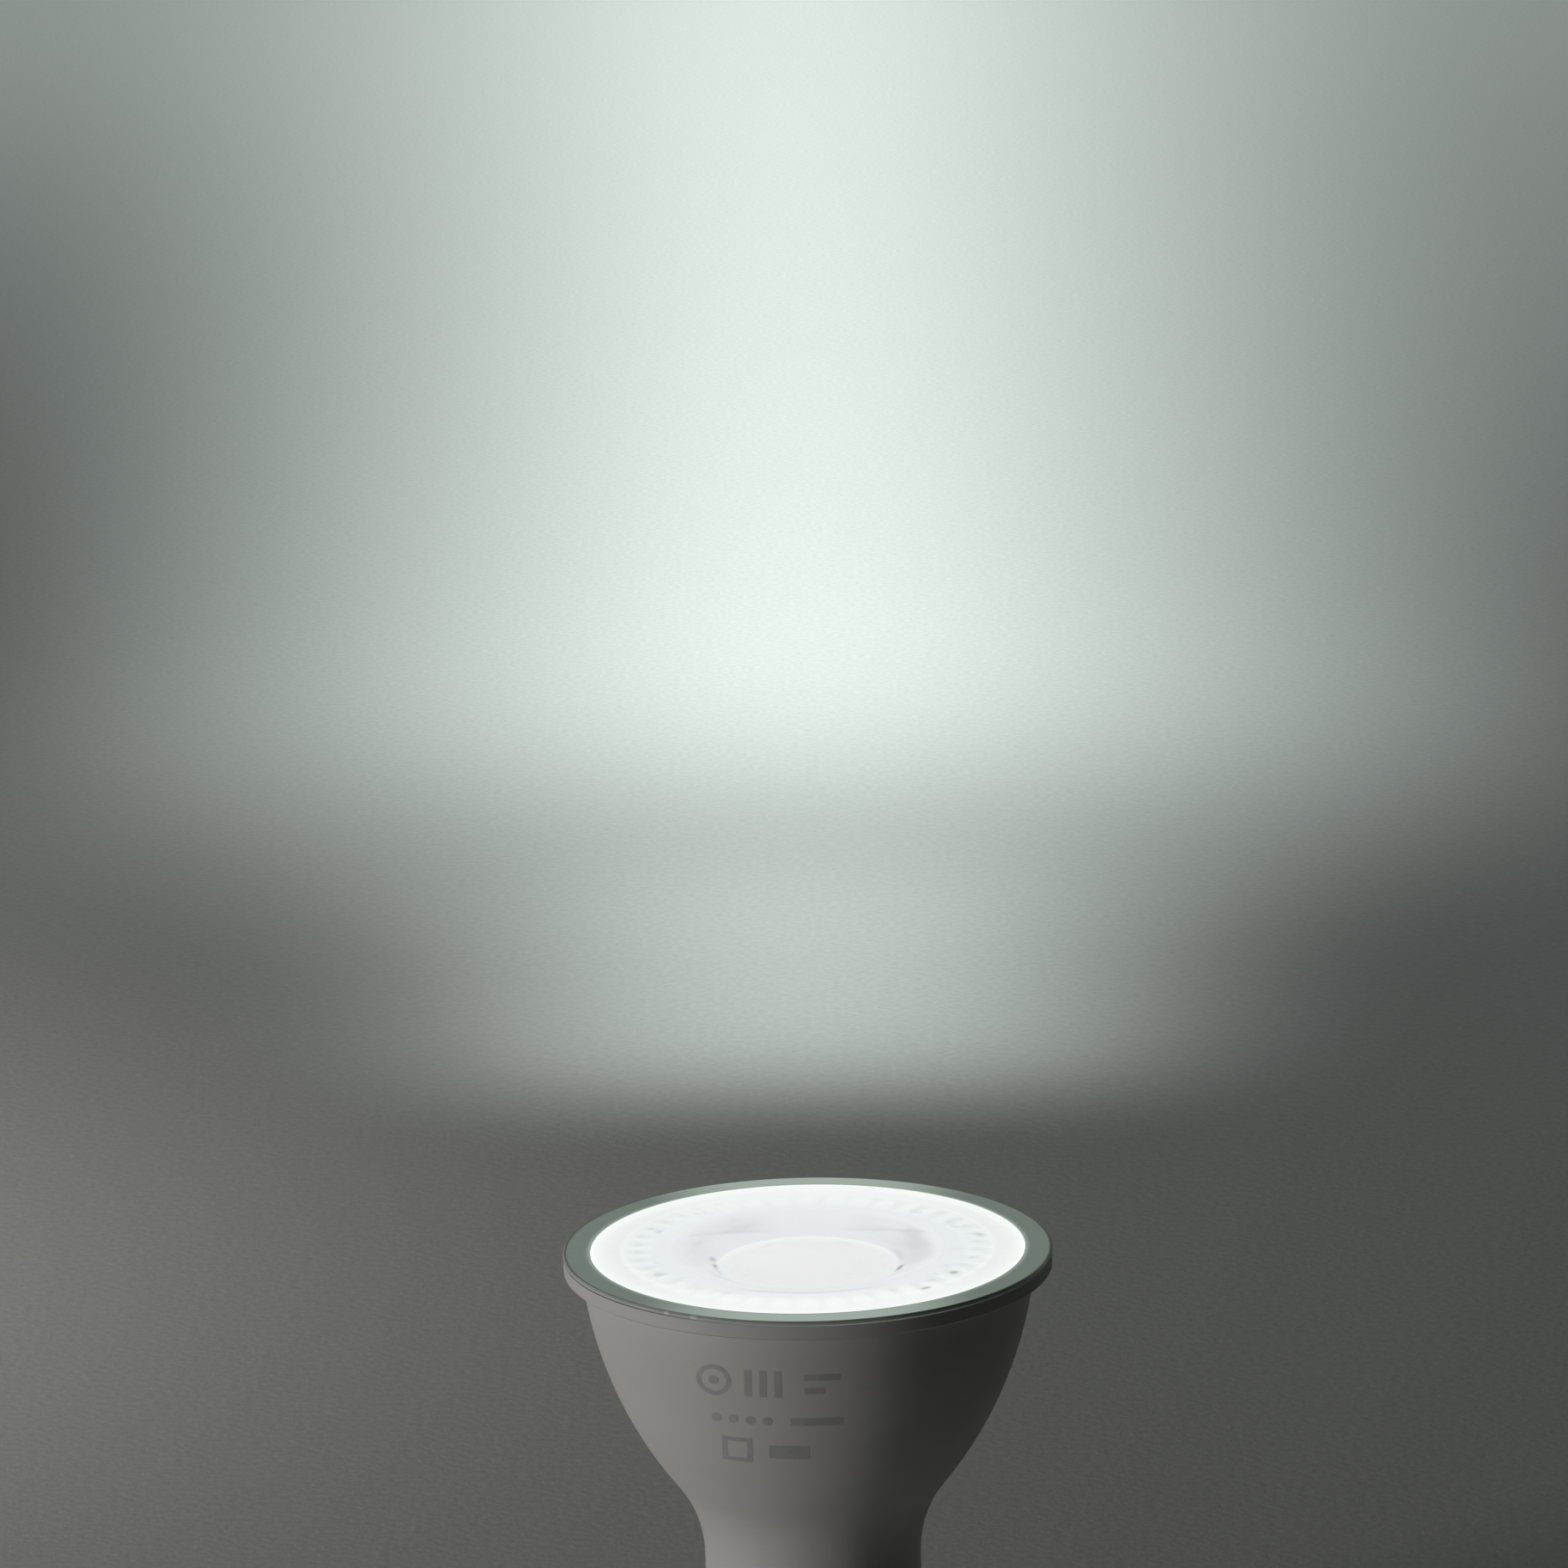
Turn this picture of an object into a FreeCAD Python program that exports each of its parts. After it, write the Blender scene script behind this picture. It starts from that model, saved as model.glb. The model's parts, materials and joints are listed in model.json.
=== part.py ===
import FreeCAD, Part
import math
import os

import Sketcher

# Spotlight bulb with a two-pin turn-and-lock cap, 50 mm across the rim, in millimetres.
# The origin lies between the two pins on the cap's end face. +Z runs along the lamp's axis to the
# lens, and the two pins stand on the X axis.

# Driving sizes: name, value, meaning
DRIVING_SIZES = [
    ("top_height", 48.0, "cap end face to the plane of the lens and bezel"),
    ("rim_radius", 25.0, "outside of the bezel"),
    ("flange_height", 1.95, "bezel top to the underside of the flange"),
    ("flange_reach", 1.84, "bezel's edge beyond the bowl at the underside of the flange"),
    ("bowl_arc", 43.4, "radius of the bowl's side curve"),
    ("bowl_rise", 2.6, "centre of the bowl's side curve above the lens plane"),
    ("neck_radius", 11.13, "outside of the straight neck"),
    ("neck_blend", 13.6, "radius of the hollow curve from neck to bowl"),
    ("cap_chamfer", 2.0, "bevel round the cap's end face"),
    ("wall", 1.3, "wall of the moulded housing"),
    ("cap_floor", 2.5, "thickness of the cap's end wall"),
    ("flange_floor", 0.85, "thickness of the flange under the lens"),
    ("band_wall", 1.05, "upright wall of the flange round the lens"),
    ("band_setback", 0.05, "flange band inside the bezel's edge"),
    ("bezel_lip", 0.4, "thickness of the bezel"),
    ("bezel_gap", 0.1, "shadow line between bezel and flange band"),
    ("edge_bevel", 0.15, "broken outer edges of bezel and flange"),
    ("bezel_width", 2.8, "bezel from its edge to the lens"),
    ("lug_count", 6, "locating lugs under the bezel"),
    ("lug_width", 3.0, "width of a locating lug"),
    ("fit", 0.1, "clearance between pieces that fit in each other"),
    ("lens_plate", 1.9, "thickness of the lens plate"),
    ("plain_ring", 2.85, "plain outer ring of the lens plate"),
    ("prism_ring", 2.8, "radial width of the ring of prisms"),
    ("inner_ring", 2.2, "plain ring between the prisms and the well"),
    ("well_slope", 4.7, "radial width of the well's sloping wall"),
    ("dome_depth", 1.75, "foot of the dome below the lens plane"),
    ("dome_arc", 27.0, "radius of the dome's curve"),
    ("serration_count", 40, "prisms in the ring under the lens"),
    ("serration_width", 2.0, "width of a prism groove at the plate's underside"),
    ("serration_depth", 0.8, "depth of a prism groove"),
    ("cone_inset", 0.5, "reflecting cone inside the well's edge where it leaves the plate"),
    ("cone_foot_radius", 6.1, "reflecting cone at its foot"),
    ("cone_arc", 18.0, "radius of the cone's bulging side"),
    ("cone_foot_gap", 0.4, "foot of the cone above the light source board"),
    ("cavity_radius", 5.4, "well in the cone over the light source"),
    ("cavity_depth", 3.4, "straight part of the well in the cone"),
    ("cavity_arc", 9.0, "radius of the well's curved ceiling"),
    ("leg_count", 3, "legs of the lens"),
    ("leg_radius", 0.9, "radius of a leg"),
    ("sink_depth", 10.7, "lens plane to the floor of the heat sink cup"),
    ("sink_floor", 1.5, "floor of the heat sink cup"),
    ("sink_wall", 1.2, "wall of the heat sink cup"),
    ("sink_rim_drop", 3.0, "lens plane to the rim of the heat sink cup"),
    ("pad_thickness", 0.3, "thermal pad"),
    ("light_board", 1.2, "thickness of the light source board"),
    ("light_board_gap", 0.5, "light source board inside the cup's wall"),
    ("emitter_side", 7.0, "side of the light source's base"),
    ("emitter_height", 0.7, "thickness of the light source's base"),
    ("phosphor_radius", 2.9, "radius of the light source's coated disc"),
    ("phosphor_height", 0.25, "thickness of the coated disc"),
    ("screw_circle", 11.2, "board screws from the lamp's axis"),
    ("screw_angle", -35.0, "direction of the first board screw, in degrees"),
    ("screw_radius", 1.25, "board screw, across its thread"),
    ("screw_head_radius", 2.2, "board screw, across its head"),
    ("screw_head_height", 1.5, "height of a board screw's head"),
    ("screw_length", 4.0, "length of a board screw below its head"),
    ("pin_spacing", 10.0, "distance between the two cap pins"),
    ("pin_length", 7.0, "cap pins below the end face"),
    ("pin_head_radius", 2.5, "head of a cap pin"),
    ("pin_head_height", 2.4, "height of a cap pin's head"),
    ("pin_head_bevel", 0.3, "bevel at the end of a cap pin"),
    ("pin_neck_radius", 1.6, "neck of a cap pin"),
    ("pin_shank_radius", 1.4, "part of a pin inside the cap's end wall"),
    ("pin_bore_fit", 0.05, "clearance round a pin in the cap's end wall"),
    ("rivet_radius", 2.1, "riveted end of a pin inside the cap"),
    ("rivet_height", 0.8, "height of a pin's riveted end"),
    ("board_face", -2.0, "component side of the driver board, from the lamp's axis"),
    ("board_thickness", 1.2, "thickness of the driver board"),
    ("board_foot", 1.2, "driver board above the cap's end wall"),
    ("board_top_gap", 2.0, "driver board below the heat sink"),
    ("board_wing_gap", 2.1, "wide part of the driver board inside the bowl"),
    ("board_wing_height", 8.0, "height of the driver board's wide part"),
    ("rib_thickness", 0.8, "guide rib beside the driver board"),
    ("rib_reach", 1.8, "guide rib from the wall inwards"),
    ("rib_height", 10.0, "height of the guide ribs"),
    ("mount_gap", 0.2, "component above the driver board's face"),
    ("bulk_radius", 3.9, "radius of the mains capacitor"),
    ("bulk_length", 10.5, "length of the mains capacitor"),
    ("bulk_foot", 2.6, "mains capacitor above the foot of the driver board"),
    ("stack_gap", 0.8, "space between components that stand above each other"),
    ("output_radius", 2.0, "radius of the output capacitor"),
    ("output_length", 7.0, "length of the output capacitor"),
    ("drum_radius", 2.8, "flange radius of the filter inductor"),
    ("drum_core_radius", 1.5, "core radius of the filter inductor"),
    ("drum_height", 6.5, "height of the filter inductor"),
    ("drum_flange", 0.9, "thickness of the filter inductor's flanges"),
    ("upper_middle", 2.4, "transformer's middle from the middle plane"),
    ("core_width", 9.4, "width of the transformer's core"),
    ("core_height", 8.0, "height of the transformer's core"),
    ("core_depth", 4.6, "depth of the transformer's core"),
    ("core_limb", 1.7, "outer limbs and yokes of the transformer's core"),
    ("core_middle", 2.8, "middle limb of the transformer's core"),
    ("coil_overhang", 1.7, "winding in front of and behind the core"),
    ("rectifier_width", 4.8, "width of the rectifier"),
    ("rectifier_height", 3.9, "height of the rectifier"),
    ("rectifier_depth", 2.4, "depth of the rectifier"),
    ("chip_width", 3.9, "width of the driver chip"),
    ("chip_height", 4.9, "height of the driver chip"),
    ("chip_depth", 1.5, "depth of the driver chip"),
    ("package_offset", 5.4, "rectifier and driver chip from the middle plane"),
    ("package_drop", 5.5, "top of rectifier and driver chip below the top of the driver board"),
    ("leg_out", 1.0, "component legs beside their package"),
    ("leg_thickness", 0.3, "thickness of component legs"),
    ("leg_breadth", 0.5, "breadth of component legs"),
    ("diode_width", 4.2, "width of the output diode"),
    ("diode_height", 2.6, "height of the output diode"),
    ("diode_depth", 2.1, "depth of the output diode"),
    ("diode_offset", 7.2, "output diode from the middle plane"),
    ("diode_drop", 2.0, "output diode below the top of the driver board"),
    ("resistor_width", 2.0, "width of a chip resistor"),
    ("resistor_height", 1.25, "height of a chip resistor"),
    ("resistor_depth", 0.5, "depth of a chip resistor"),
    ("resistor_pitch", 2.2, "distance between chip resistors"),
    ("resistor_offset", 5.4, "chip resistors from the middle plane"),
    ("resistor_foot", 7.2, "chip resistors above the foot of the driver board"),
    ("fuse_radius", 1.3, "radius of the fusible resistor"),
    ("fuse_length", 7.0, "length of the fusible resistor"),
    ("fuse_foot", 5.0, "fusible resistor above the foot of the driver board"),
    ("lead_radius", 0.5, "radius of the insulated leads"),
    ("lead_bend", 1.6, "radius of the bends in the leads"),
    ("mains_lead_rise", 4.2, "straight run of a mains lead above its pin"),
    ("light_lead_drop", 4.0, "light source leads below the top of the driver board"),
    ("light_lead_offset", 2.3, "light source leads from the middle plane"),
    ("light_lead_distance", 8.9, "light source leads behind the lamp's axis"),
    ("light_lead_end", 0.6, "ends of the leads above the light source board"),
    ("hole_fit", 0.25, "clearance round leads and screws in their holes"),
]

# Sizes that follow from the driving ones: name, formula
DERIVED_SIZES = [
    ("flange_bottom", "dims.top_height - dims.flange_height"),
    ("mouth_radius", "dims.rim_radius - dims.flange_reach"),
    ("window_radius", "dims.rim_radius - dims.bezel_width"),
    ("lip_bottom", "dims.top_height - dims.bezel_lip"),
    ("band_top", "lip_bottom - dims.bezel_gap"),
    ("band_radius", "dims.rim_radius - dims.band_setback"),
    ("seat_radius", "band_radius - dims.band_wall"),
    ("ledge", "flange_bottom + dims.flange_floor"),
    ("bowl_axis_z", "dims.top_height + dims.bowl_rise"),
    ("bowl_axis_r", "mouth_radius"
     " - sqrt(dims.bowl_arc ^ 2 - (bowl_axis_z - flange_bottom) ^ 2)"),
    ("neck_axis_r", "dims.neck_radius + dims.neck_blend"),
    ("axis_span", "dims.bowl_arc + dims.neck_blend"),
    ("neck_axis_z", "bowl_axis_z - sqrt(axis_span ^ 2 - (neck_axis_r - bowl_axis_r) ^ 2)"),
    ("lean_r", "(neck_axis_r - bowl_axis_r) / axis_span"),
    ("lean_z", "(neck_axis_z - bowl_axis_z) / axis_span"),
    ("blend_r", "bowl_axis_r + dims.bowl_arc * lean_r"),
    ("blend_z", "bowl_axis_z + dims.bowl_arc * lean_z"),
    ("inner_arc", "dims.bowl_arc - dims.wall"),
    ("inner_blend_r", "bowl_axis_r + inner_arc * lean_r"),
    ("inner_blend_z", "bowl_axis_z + inner_arc * lean_z"),
    ("mouth_inner", "bowl_axis_r + sqrt(inner_arc ^ 2 - (bowl_axis_z - flange_bottom) ^ 2)"),
    ("neck_inner", "dims.neck_radius - dims.wall"),
    ("plate_bottom", "dims.top_height - dims.lens_plate"),
    ("lens_face", "window_radius - dims.fit"),
    ("lens_shoulder", "seat_radius - dims.fit"),
    ("lens_shoulder_top", "lip_bottom - dims.fit"),
    ("lens_lower", "mouth_inner - dims.fit"),
    ("prism_outer", "lens_lower - dims.plain_ring"),
    ("prism_inner", "prism_outer - dims.prism_ring"),
    ("well_radius", "prism_inner - dims.inner_ring"),
    ("dome_radius", "well_radius - dims.well_slope"),
    ("cone_top_radius", "well_radius - dims.cone_inset"),
    ("leg_circle", "(well_radius + prism_inner) / 2"),
    ("sink_top", "dims.top_height - dims.sink_depth"),
    ("sink_bottom", "sink_top - dims.sink_floor"),
    ("sink_rim", "dims.top_height - dims.sink_rim_drop"),
    ("sink_arc", "inner_arc - dims.fit"),
    ("cup_arc", "sink_arc - dims.sink_wall"),
    ("light_board_bottom", "sink_top + dims.pad_thickness"),
    ("light_board_top", "light_board_bottom + dims.light_board"),
    ("light_board_radius", "bowl_axis_r - dims.light_board_gap"
     " + sqrt(cup_arc ^ 2 - (bowl_axis_z - sink_top) ^ 2)"),
    ("cone_foot", "light_board_top + dims.cone_foot_gap"),
    ("screw_x", "dims.screw_circle * cos(dims.screw_angle * 1deg)"),
    ("screw_y", "dims.screw_circle * sin(dims.screw_angle * 1deg)"),
    ("rivet_top", "dims.cap_floor + dims.rivet_height"),
    ("board_back", "dims.board_face - dims.board_thickness"),
    ("board_bottom", "dims.cap_floor + dims.board_foot"),
    ("board_top", "sink_bottom - dims.board_top_gap"),
    ("board_wing_foot", "board_top - dims.board_wing_height"),
    ("board_half", "sqrt((neck_inner - dims.fit) ^ 2 - board_back ^ 2)"),
    ("component_face", "dims.board_face + dims.mount_gap"),
    ("component_back", "board_back - dims.mount_gap"),
    ("bulk_bottom", "board_bottom + dims.bulk_foot"),
    ("output_bottom", "board_bottom + dims.fuse_foot + dims.fuse_radius + dims.stack_gap"),
    ("package_top", "board_top - dims.package_drop"),
    ("wing_bowl", "bowl_axis_r + sqrt(inner_arc ^ 2 - (bowl_axis_z - board_wing_foot) ^ 2)"),
    ("wing_half", "sqrt((wing_bowl - dims.board_wing_gap) ^ 2 - board_back ^ 2)"),
    ("window_width", "(dims.core_width - dims.core_middle) / 2 - dims.core_limb"),
    ("core_bottom", "board_top - dims.core_height"),
    ("core_front", "component_face + dims.coil_overhang"),
]


def fill_sheet(name, rows):
    """Spreadsheet with a meaning, a value and an alias in each row."""
    table = doc.addObject("Spreadsheet::Sheet", name)
    for row, (alias, content, meaning) in enumerate(rows, start=1):
        table.set("A%d" % row, meaning)
        table.set("B%d" % row, content)
        table.setAlias("B%d" % row, alias)
    doc.recompute()
    return table


def size(expression):
    """Present value of an expression in the two sheets."""
    found = sheet.evalExpression(expression)
    return float(getattr(found, "Value", found))


def new_body(name):
    """Empty body whose label names its file."""
    body = doc.addObject("PartDesign::Body", name)
    body.Label = name
    sub_parts.append(body)
    return body


def origin_feature(body, role):
    """Plane or axis of the body's own origin."""
    return [feature for feature in body.Origin.OriginFeatures if feature.Role == role][0]


def new_sketch(body, name, role, offset=None):
    """Sketch on a plane of the body's origin, moved along the plane's normal by the offset."""
    sketch = body.newObject("Sketcher::SketchObject", name)
    sketch.AttachmentSupport = [(origin_feature(body, role), "")]
    sketch.MapMode = "FlatFace"
    if offset is not None:
        sketch.setExpression("AttachmentOffset.Base.z", offset)
    return sketch


def pin_down(sketch, geometry, place, x, y):
    """Tie a point of the sketch to two expressions, or to an axis where one is zero."""
    for kind, axis, expression in (("DistanceX", -2, x), ("DistanceY", -1, y)):
        if expression == "0":
            sketch.addConstraint(Sketcher.Constraint("PointOnObject", geometry, place, axis))
        else:
            tie = Sketcher.Constraint(kind, -1, 1, geometry, place, size(expression))
            index = sketch.addConstraint(tie)
            sketch.setExpression("Constraints[%d]" % index, expression)


def arc_between(start, end, radius, turn):
    """Arc of less than half a turn, with its centre to the left or right of the way it runs."""
    chord = end.sub(start)
    side = FreeCAD.Vector(-chord.y, chord.x, 0).normalize()
    if turn == "right":
        side = side.negative()
    height = math.sqrt(radius ** 2 - (chord.Length / 2) ** 2)
    centre = start.add(end).multiply(0.5).add(side.multiply(height))
    first, last = (start, end) if turn == "left" else (end, start)
    angles = [math.atan2(point.y - centre.y, point.x - centre.x) for point in (first, last)]
    circle = Part.Circle(centre, FreeCAD.Vector(0, 0, 1), radius)
    return Part.ArcOfCircle(circle, angles[0], angles[1])


def draw_run(sketch, corners, closed=True):
    """Lines and arcs through corners: (x, y), or (x, y, radius, turn) where an arc starts there."""
    points = [FreeCAD.Vector(size(corner[0]), size(corner[1]), 0) for corner in corners]
    sides = []
    for index, corner in enumerate(corners if closed else corners[:-1]):
        start = points[index]
        end = points[(index + 1) % len(points)]
        if len(corner) == 2:
            geometry = sketch.addGeometry(Part.LineSegment(start, end), False)
            sides.append((geometry, 1, 2))
            continue
        arc = arc_between(start, end, size(corner[2]), corner[3])
        geometry = sketch.addGeometry(arc, False)
        tie = sketch.addConstraint(Sketcher.Constraint("Radius", geometry, size(corner[2])))
        sketch.setExpression("Constraints[%d]" % tie, corner[2])
        sides.append((geometry, 1, 2) if corner[3] == "left" else (geometry, 2, 1))
    for index, (geometry, start_place, _) in enumerate(sides):
        before, _, end_place = sides[index - 1]
        if closed or index > 0:
            sketch.addConstraint(
                Sketcher.Constraint("Coincident", before, end_place, geometry, start_place))
        pin_down(sketch, geometry, start_place, corners[index][0], corners[index][1])
    if not closed:
        geometry, _, end_place = sides[-1]
        pin_down(sketch, geometry, end_place, corners[-1][0], corners[-1][1])


def draw_rectangle(sketch, left, right, low, high):
    """Rectangle between four expressions."""
    draw_run(sketch, [(left, low), (right, low), (right, high), (left, high)])


def draw_circle(sketch, x, y, radius):
    """Circle with its centre and radius tied to expressions."""
    centre = FreeCAD.Vector(size(x), size(y), 0)
    circle = Part.Circle(centre, FreeCAD.Vector(0, 0, 1), size(radius))
    geometry = sketch.addGeometry(circle, False)
    pin_down(sketch, geometry, 3, x, y)
    tie = sketch.addConstraint(Sketcher.Constraint("Radius", geometry, size(radius)))
    sketch.setExpression("Constraints[%d]" % tie, radius)


def revolve(body, name, corners):
    """Full turn of an outline in radius and height about the body's Z axis."""
    sketch = new_sketch(body, name + "_outline", "XZ_Plane")
    draw_run(sketch, corners)
    turned = body.newObject("PartDesign::Revolution", name)
    turned.Profile = sketch
    turned.ReferenceAxis = (sketch, ["V_Axis"])
    turned.Angle = 360
    return turned


def extrude(body, kind, name, sketch, length, way="up"):
    """Pad or Pocket of a sketch along its normal: up, down or to both sides."""
    feature = body.newObject("PartDesign::" + kind, name)
    feature.Profile = sketch
    feature.setExpression("Length", length)
    feature.Midplane = way == "both"
    feature.Reversed = (way == "down") if kind == "Pad" else (way == "up")
    return feature


def polar_pattern(body, name, feature, count):
    """Feature repeated round the Z axis."""
    pattern = body.newObject("PartDesign::PolarPattern", name)
    pattern.Originals = [feature]
    pattern.Axis = (origin_feature(body, "Z_Axis"), [""])
    pattern.Angle = 360
    pattern.setExpression("Occurrences", count)
    body.Tip = pattern
    return pattern


def mirror(body, name, features, role):
    """Features mirrored in a plane of the body's origin."""
    mirrored = body.newObject("PartDesign::Mirrored", name)
    mirrored.Originals = features
    mirrored.MirrorPlane = (origin_feature(body, role), [""])
    body.Tip = mirrored
    return mirrored


def move_to(sub_part, x="0", y="0", z="0"):
    """Placement tied to three expressions."""
    for axis, expression in zip("xyz", (x, y, z)):
        sub_part.setExpression("Placement.Base." + axis, expression)


def new_box(name, width, depth, height, x, y, z):
    """Block with its low corner at x, y, z."""
    box = doc.addObject("Part::Box", name)
    box.Label = name
    for side, expression in (("Length", width), ("Width", depth), ("Height", height)):
        box.setExpression(side, expression)
    move_to(box, x, y, z)
    sub_parts.append(box)
    return box


# Housing: one moulding with bowl, neck, cap, pin bores and guide ribs
def build_housing():
    body = new_body("housing")
    revolve(body, "housing_wall", [
        ("0", "0"),
        ("dims.neck_radius - dims.cap_chamfer", "0"),
        ("dims.neck_radius", "dims.cap_chamfer"),
        ("dims.neck_radius", "derived.neck_axis_z", "dims.neck_blend", "right"),
        ("derived.blend_r", "derived.blend_z", "dims.bowl_arc", "left"),
        ("derived.mouth_radius", "derived.flange_bottom"),
        ("derived.band_radius - dims.edge_bevel", "derived.flange_bottom"),
        ("derived.band_radius", "derived.flange_bottom + dims.edge_bevel"),
        ("derived.band_radius", "derived.band_top"),
        ("derived.seat_radius", "derived.band_top"),
        ("derived.seat_radius", "derived.ledge"),
        ("derived.mouth_inner", "derived.ledge"),
        ("derived.mouth_inner", "derived.flange_bottom", "derived.inner_arc", "right"),
        ("derived.inner_blend_r", "derived.inner_blend_z", "dims.neck_blend + dims.wall", "left"),
        ("derived.neck_inner", "derived.neck_axis_z"),
        ("derived.neck_inner", "dims.cap_floor"),
        ("0", "dims.cap_floor"),
    ])
    bores = new_sketch(body, "pin_bore_circles", "XY_Plane")
    for side in ("", "-"):
        draw_circle(bores, side + "dims.pin_spacing / 2", "0",
                    "dims.pin_shank_radius + dims.pin_bore_fit")
    extrude(body, "Pocket", "pin_bores", bores, "2 * dims.cap_floor", "both")
    ribs = new_sketch(body, "guide_rib_outlines", "XY_Plane", "derived.board_bottom")
    front = "dims.board_face + dims.fit"
    back = "derived.board_back - dims.fit"
    reach = "derived.neck_inner - dims.rib_reach"
    for near, far in ((front, front + " + dims.rib_thickness"),
                      (back, back + " - dims.rib_thickness")):
        low, high = sorted((near, far), key=size)
        # The rib ends half way through the wall at the side that lies further from the axis
        root = "sqrt((derived.neck_inner + dims.wall / 2) ^ 2 - (%s) ^ 2)" % max(
            (near, far), key=lambda place: abs(size(place)))
        draw_rectangle(ribs, reach, root, low, high)
    pads = extrude(body, "Pad", "guide_ribs", ribs, "dims.rib_height")
    mirror(body, "guide_ribs_mirrored", [pads], "YZ_Plane")


# Bezel: flat ring that clamps the lens, with lugs that stand on the housing's ledge
def build_bezel():
    body = new_body("front_bezel")
    revolve(body, "bezel_ring", [
        ("derived.window_radius", "derived.lip_bottom"),
        ("dims.rim_radius - dims.edge_bevel / 2", "derived.lip_bottom"),
        ("dims.rim_radius", "derived.lip_bottom + dims.edge_bevel / 2"),
        ("dims.rim_radius", "dims.top_height - dims.edge_bevel"),
        ("dims.rim_radius - dims.edge_bevel", "dims.top_height"),
        ("derived.window_radius", "dims.top_height"),
    ])
    lug = new_sketch(body, "lug_outline", "XY_Plane", "derived.ledge")
    draw_rectangle(lug, "derived.window_radius + dims.fit", "derived.seat_radius - 2 * dims.fit",
                   "-dims.lug_width / 2", "dims.lug_width / 2")
    block = extrude(body, "Pad", "lug", lug, "derived.lip_bottom - derived.ledge + dims.fit")
    polar_pattern(body, "lugs", block, "dims.lug_count")


# Lens: plate with a well and dome, ring of prisms, reflecting cone and legs
def build_lens():
    body = new_body("optic_lens")
    dome_foot = "dims.top_height - dims.dome_depth"
    dome_top = dome_foot + " + dims.dome_arc - sqrt(dims.dome_arc ^ 2 - derived.dome_radius ^ 2)"
    cavity_edge = "derived.cone_foot + dims.cavity_depth"
    cavity_top = (cavity_edge
                  + " + dims.cavity_arc - sqrt(dims.cavity_arc ^ 2 - dims.cavity_radius ^ 2)")
    revolve(body, "lens_body", [
        ("dims.cavity_radius", "derived.cone_foot"),
        ("dims.cone_foot_radius", "derived.cone_foot", "dims.cone_arc", "left"),
        ("derived.cone_top_radius", "derived.plate_bottom"),
        ("derived.lens_lower", "derived.plate_bottom"),
        ("derived.lens_lower", "derived.ledge"),
        ("derived.lens_shoulder", "derived.ledge"),
        ("derived.lens_shoulder", "derived.lens_shoulder_top"),
        ("derived.lens_face", "derived.lens_shoulder_top"),
        ("derived.lens_face", "dims.top_height"),
        ("derived.well_radius", "dims.top_height"),
        ("derived.dome_radius", dome_foot, "dims.dome_arc", "left"),
        ("0", dome_top),
        ("0", cavity_top, "dims.cavity_arc", "right"),
        ("dims.cavity_radius", cavity_edge),
    ])
    groove = new_sketch(body, "prism_outline", "YZ_Plane", "derived.prism_inner")
    # The outline starts below the plate, so that the groove cuts cleanly through its underside
    slope = "(dims.serration_width / 2 * (1 + dims.fit / dims.serration_depth))"
    draw_run(groove, [
        ("-" + slope, "derived.plate_bottom - dims.fit"),
        (slope, "derived.plate_bottom - dims.fit"),
        ("0", "derived.plate_bottom + dims.serration_depth"),
    ])
    prism = extrude(body, "Pocket", "prism", groove,
                    "derived.prism_outer - derived.prism_inner", "up")
    polar_pattern(body, "prisms", prism, "dims.serration_count")
    notch = new_sketch(body, "notch_outline", "XY_Plane", "derived.ledge")
    draw_rectangle(notch, "derived.lens_face", "derived.seat_radius",
                   "-dims.lug_width / 2 - dims.fit", "dims.lug_width / 2 + dims.fit")
    cut = extrude(body, "Pocket", "notch", notch,
                  "derived.lens_shoulder_top - derived.ledge", "up")
    polar_pattern(body, "notches", cut, "dims.lug_count")
    foot = new_sketch(body, "leg_outline", "XY_Plane", "derived.light_board_top")
    draw_circle(foot, "derived.leg_circle", "0", "dims.leg_radius")
    leg = extrude(body, "Pad", "leg", foot,
                  "derived.plate_bottom - derived.light_board_top + dims.fit")
    polar_pattern(body, "legs", leg, "dims.leg_count")


# Heat sink: cup pressed into the bowl, whose floor carries the light source
def build_heat_sink():
    body = new_body("heat_sink")

    def cup_radius(arc, height):
        return ("derived.bowl_axis_r + sqrt(%s ^ 2 - (derived.bowl_axis_z - %s) ^ 2)"
                % (arc, height))

    revolve(body, "cup", [
        ("0", "derived.sink_bottom"),
        (cup_radius("derived.sink_arc", "derived.sink_bottom"), "derived.sink_bottom",
         "derived.sink_arc", "left"),
        (cup_radius("derived.sink_arc", "derived.sink_rim"), "derived.sink_rim"),
        (cup_radius("derived.cup_arc", "derived.sink_rim"), "derived.sink_rim",
         "derived.cup_arc", "right"),
        (cup_radius("derived.cup_arc", "derived.sink_top"), "derived.sink_top"),
        ("0", "derived.sink_top"),
    ])
    holes = new_sketch(body, "cup_hole_circles", "XY_Plane", "derived.sink_bottom")
    draw_passages(holes, "dims.fit / 2")
    extrude(body, "Pocket", "cup_holes", holes, "dims.sink_floor", "up")


def draw_passages(sketch, screw_fit):
    """Circles for the two board screws and the two leads of the light source."""
    for side in ("", "-"):
        draw_circle(sketch, side + "derived.screw_x", side + "derived.screw_y",
                    "dims.screw_radius + " + screw_fit)
        draw_circle(sketch, side + "dims.light_lead_offset", "-dims.light_lead_distance",
                    "dims.lead_radius + dims.hole_fit")


# Thermal pad and light source board: drilled discs on the floor of the cup
def build_drilled_disc(name, bottom, thickness):
    body = new_body(name)
    sketch = new_sketch(body, name + "_outline", "XY_Plane", bottom)
    draw_circle(sketch, "0", "0", "derived.light_board_radius")
    draw_passages(sketch, "dims.hole_fit")
    extrude(body, "Pad", name + "_disc", sketch, thickness)


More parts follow.
